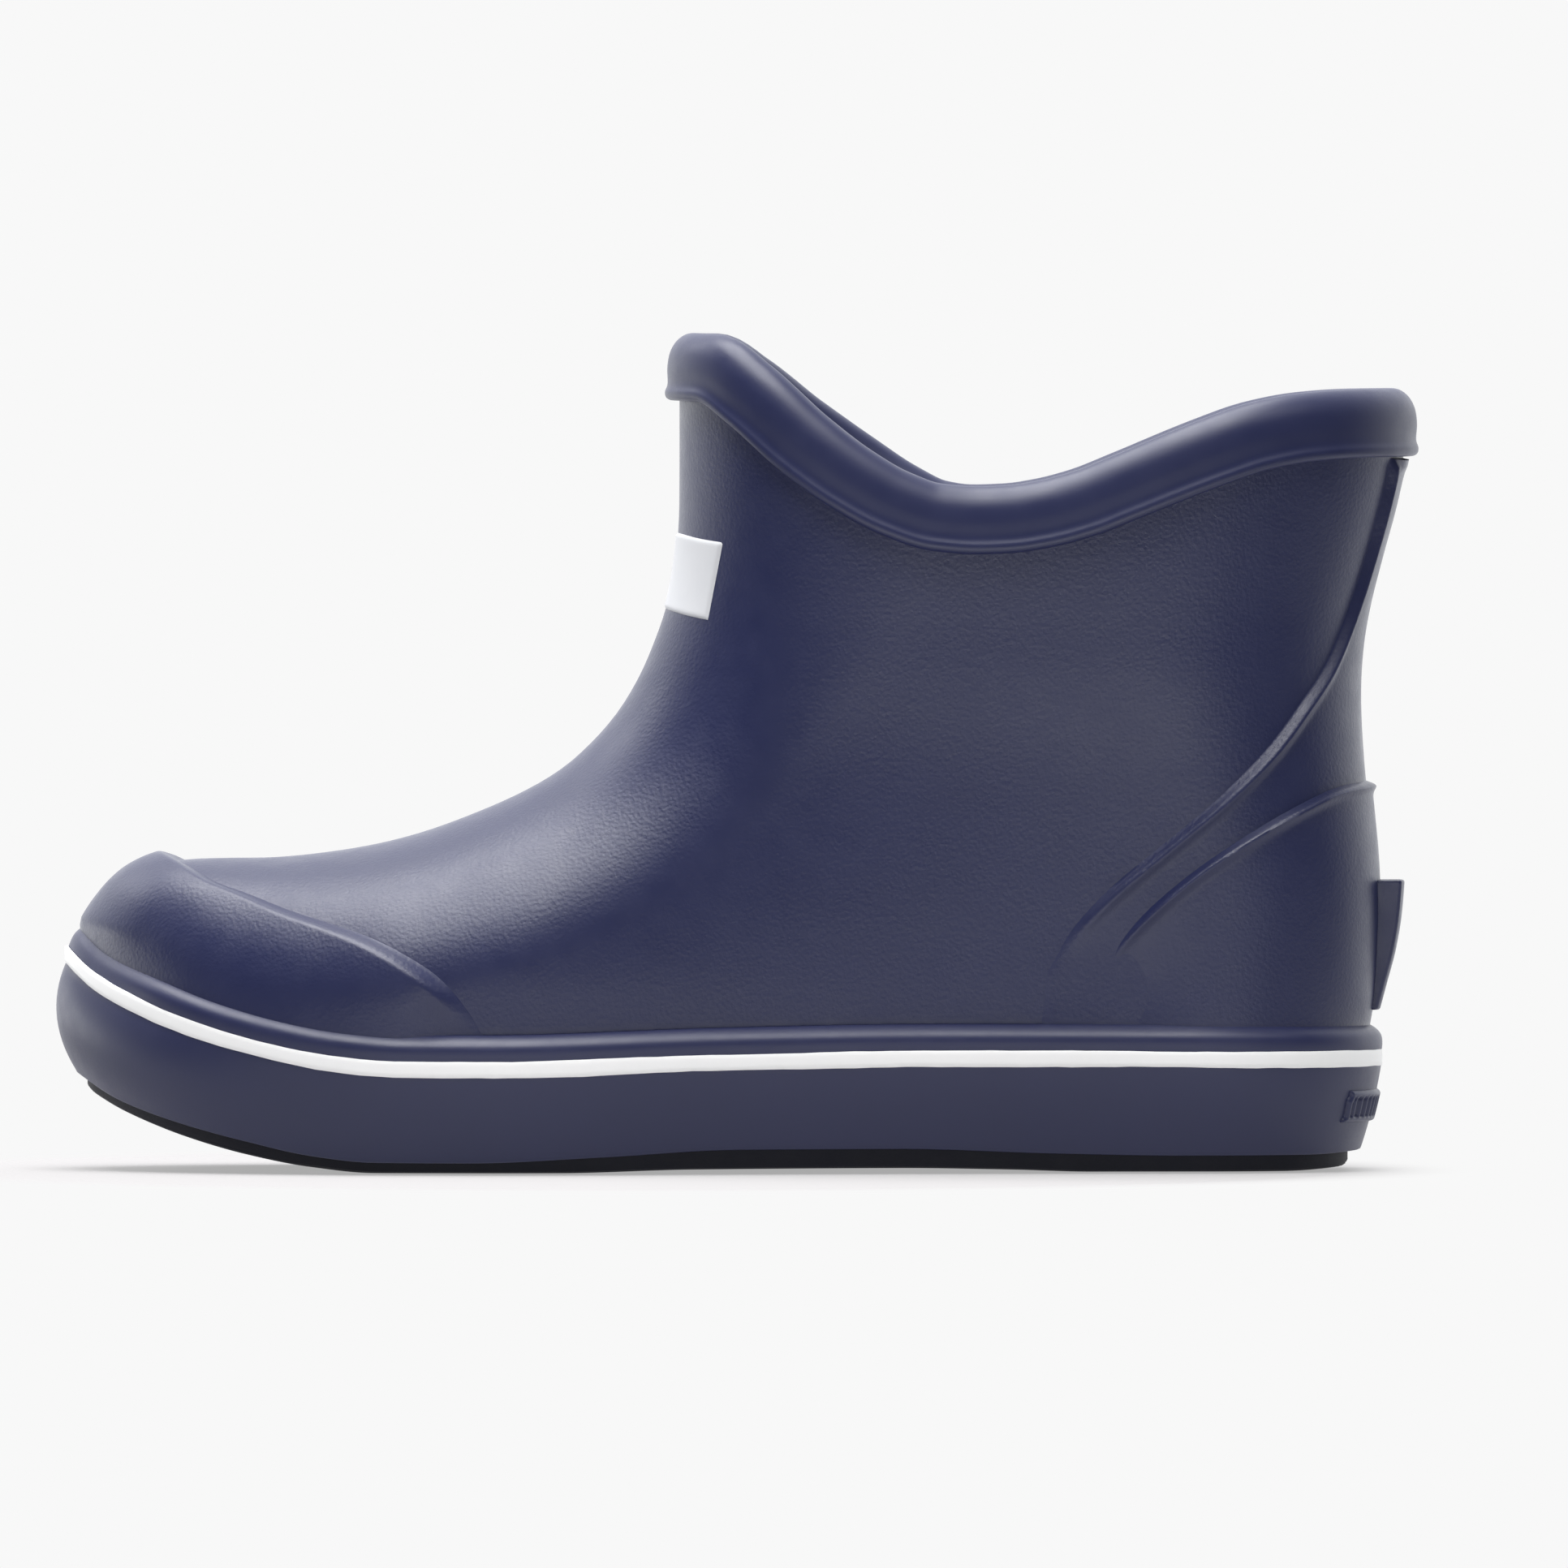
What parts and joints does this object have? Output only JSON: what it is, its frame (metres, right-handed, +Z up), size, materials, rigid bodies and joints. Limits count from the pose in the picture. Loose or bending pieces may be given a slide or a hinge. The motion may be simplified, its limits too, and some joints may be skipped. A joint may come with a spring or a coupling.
{
  "type": "ankle deck boot",
  "caption": "Slip-on ankle deck boot for the left foot, with a rolled collar, toe cap, heel overlays, kick tab, white foxing stripe, rubber outsole and a footbed whose heel end lifts.",
  "frame": {"origin": "centre of the bounding box in plan, on the ground the outsole stands on", "axes": "+Z up, +X from toe to heel, +Y towards the inner side of the foot, so the outer side faces -Y"},
  "size_m": [0.3087, 0.1136, 0.1896],
  "materials": {
    "navy_foam": "navy moulded foam rubber with a fine grain",
    "white_rubber": "matt white rubber",
    "outsole_rubber": "matt near-black navy rubber",
    "lining_knit": "dark knit",
    "board_fibre": "bonded fibre",
    "footbed_foam": "open foam",
    "footbed_knit": "knit cover",
    "label_white": "smooth white"
  },
  "bodies": {
    "boot": {"upper_shell": "navy_foam", "topline_collar": "navy_foam", "toe_cap": "navy_foam", "back_stay": "navy_foam", "heel_counter": "navy_foam", "kick_tab": "navy_foam", "front_label": "label_white", "foxing_bead": "navy_foam", "foxing_stripe": "white_rubber", "midsole_cup": "navy_foam", "heel_badge": "navy_foam", "outsole": "outsole_rubber", "lining": "lining_knit", "toe_puff": "board_fibre", "heel_stiffener": "board_fibre", "insole_board": "board_fibre", "footbed_forefoot": "footbed_foam", "footbed_cover_forefoot": "footbed_knit"},
    "footbed": {"footbed_rear": "footbed_foam", "footbed_cover_rear": "footbed_knit"}
  },
  "joints": [
    {"name": "footbed_lift", "type": "hinge", "parent": "boot", "child": "footbed", "pos_m": [-0.045, 0, 0.0243], "axis": [0, -1, 0], "range_deg": [0, 30]}
  ]
}
